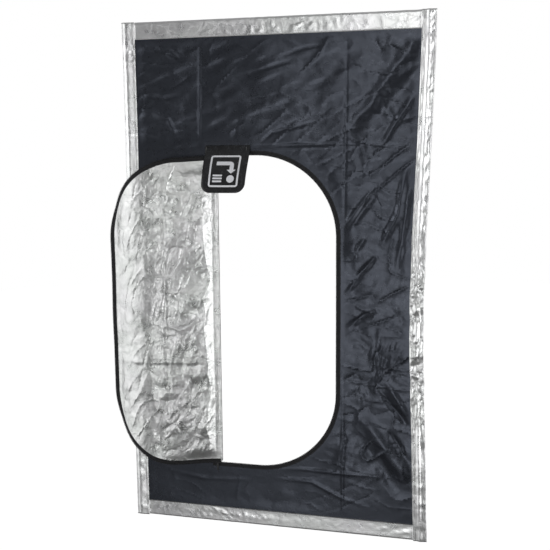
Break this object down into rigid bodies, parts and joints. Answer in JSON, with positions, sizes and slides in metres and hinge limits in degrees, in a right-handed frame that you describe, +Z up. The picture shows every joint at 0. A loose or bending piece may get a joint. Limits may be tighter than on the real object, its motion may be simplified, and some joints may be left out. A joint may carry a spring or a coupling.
{
  "type": "tent wall panel with zip door",
  "caption": "Hanging wall panel of an equipment enclosure tent: black sheet with reflective lining, rails in its hems, side wings and a zip door folded open.",
  "frame": {"origin": "middle of the top rail's axis, where the panel hangs", "axes": "+Z up, +X to the right seen from the front, the front with the black sheet and the zip door faces -Y"},
  "size_m": [1.2683, 0.1198, 2],
  "materials": {
    "black_cloth": "matte",
    "silver_film": "satin",
    "rail_steel": "satin",
    "zip_tape": "matte",
    "zip_coil": "satin",
    "zip_stop": "satin",
    "slider_metal": "satin",
    "pull_rubber": "matte",
    "hook_tape": "matte",
    "loop_tape": "matte",
    "garage_rubber": "satin",
    "garage_print": "matte"
  },
  "bodies": {
    "panel": {"outer_sheet": "black_cloth", "lining_sheet": "silver_film", "top_hem": "silver_film", "bottom_hem": "silver_film", "top_rail": "rail_steel", "bottom_rail": "rail_steel", "left_seam_strip": "silver_film", "right_seam_strip": "silver_film", "left_loop_tape": "loop_tape", "right_loop_tape": "loop_tape", "opening_zip_tape": "zip_tape", "opening_binding": "zip_tape", "opening_coil": "zip_coil", "zip_end_stops": "zip_stop", "hinge_fold": "silver_film", "garage_seam_strip": "garage_rubber"},
    "left_border": {"left_wing": "silver_film", "left_hook_tape": "hook_tape"},
    "right_border": {"right_wing": "silver_film", "right_hook_tape": "hook_tape"},
    "door_hinge_side": {"door_strip_1_cloth": "black_cloth", "door_strip_1_lining": "silver_film", "door_strip_1_tape": "zip_tape", "door_strip_1_binding": "zip_tape", "door_strip_1_coil": "zip_coil"},
    "door_inner": {"door_strip_2_cloth": "black_cloth", "door_strip_2_lining": "silver_film", "door_strip_2_tape": "zip_tape", "door_strip_2_binding": "zip_tape", "door_strip_2_coil": "zip_coil"},
    "door_middle": {"door_strip_3_cloth": "black_cloth", "door_strip_3_lining": "silver_film", "door_strip_3_tape": "zip_tape", "door_strip_3_binding": "zip_tape", "door_strip_3_coil": "zip_coil"},
    "door_free_side": {"door_strip_4_cloth": "black_cloth", "door_strip_4_lining": "silver_film", "door_strip_4_tape": "zip_tape", "door_strip_4_binding": "zip_tape", "door_strip_4_coil": "zip_coil"},
    "top_runner": {"top_slider": "slider_metal"},
    "top_outer_tab": {"top_outer_pull": "pull_rubber"},
    "top_inner_tab": {"top_inner_pull": "pull_rubber"},
    "bottom_runner": {"bottom_slider": "slider_metal"},
    "bottom_outer_tab": {"bottom_outer_pull": "pull_rubber"},
    "bottom_inner_tab": {"bottom_inner_pull": "pull_rubber"},
    "garage": {"zip_garage": "garage_rubber", "garage_frame": "garage_print", "garage_pictogram": "garage_print"}
  },
  "joints": [
    {"name": "door_swing", "type": "hinge", "parent": "panel", "child": "door_hinge_side", "pos_m": [-0.225, -0.0124, 0], "axis": [0, 0, 1], "range_deg": [0, 168], "deforming": ["hinge_fold", "zip_garage", "garage_frame", "garage_pictogram"]},
    {"name": "door_near_sag", "type": "slide", "parent": "door_hinge_side", "child": "door_inner", "axis": [0, 0, 1], "range_m": [-0.0002, 0.0067]},
    {"name": "door_far_sag", "type": "slide", "parent": "door_inner", "child": "door_middle", "axis": [0, 0, 1], "range_m": [-0.0002, 0.0082]},
    {"name": "door_crease", "type": "hinge", "parent": "door_middle", "child": "door_free_side", "pos_m": [-0.54681, -0.08561, 0], "axis": [0, 0, 1], "range_deg": [-0.5, 39.5]},
    {"name": "left_wing_fold", "type": "hinge", "parent": "panel", "child": "left_border", "pos_m": [-0.5555, -0.0064, 0], "axis": [0, 0, -1], "range_deg": [0, 120]},
    {"name": "right_wing_fold", "type": "hinge", "parent": "panel", "child": "right_border", "pos_m": [0.5555, -0.0064, 0], "axis": [0, 0, 1], "range_deg": [0, 120]},
    {"name": "garage_lift", "type": "hinge", "parent": "panel", "child": "garage", "pos_m": [-0.179, -0.0096, -0.4608], "axis": [-1, 0, 0], "range_deg": [0, 90]},
    {"name": "top_slider_run", "type": "slide", "parent": "panel", "child": "top_runner", "axis": [1, 0, 0], "range_m": [0, 0.17]},
    {"name": "top_outer_pull_turn", "type": "hinge", "parent": "top_runner", "child": "top_outer_tab", "pos_m": [-0.243, -0.0084, -0.5008], "axis": [0, 1, 0], "range_deg": [-85, 85]},
    {"name": "top_inner_pull_turn", "type": "hinge", "parent": "top_runner", "child": "top_inner_tab", "pos_m": [-0.243, -0.0084, -0.5008], "axis": [0, 1, 0], "range_deg": [-85, 85]},
    {"name": "bottom_slider_run", "type": "slide", "parent": "panel", "child": "bottom_runner", "axis": [1, 0, 0], "range_m": [0, 0.17]},
    {"name": "bottom_outer_pull_turn", "type": "hinge", "parent": "bottom_runner", "child": "bottom_outer_tab", "pos_m": [-0.243, -0.0084, -1.7338], "axis": [0, 1, 0], "range_deg": [-85, 85]},
    {"name": "bottom_inner_pull_turn", "type": "hinge", "parent": "bottom_runner", "child": "bottom_inner_tab", "pos_m": [-0.243, -0.0084, -1.7338], "axis": [0, 1, 0], "range_deg": [-85, 85]}
  ],
  "couplings": [
    {"joint": "door_crease", "follows": "door_swing", "ratio": 0.23214},
    {"joint": "door_near_sag", "follows": "door_swing", "m_per_rad": 0.0022168},
    {"joint": "door_far_sag", "follows": "door_swing", "m_per_rad": 0.0027284}
  ]
}
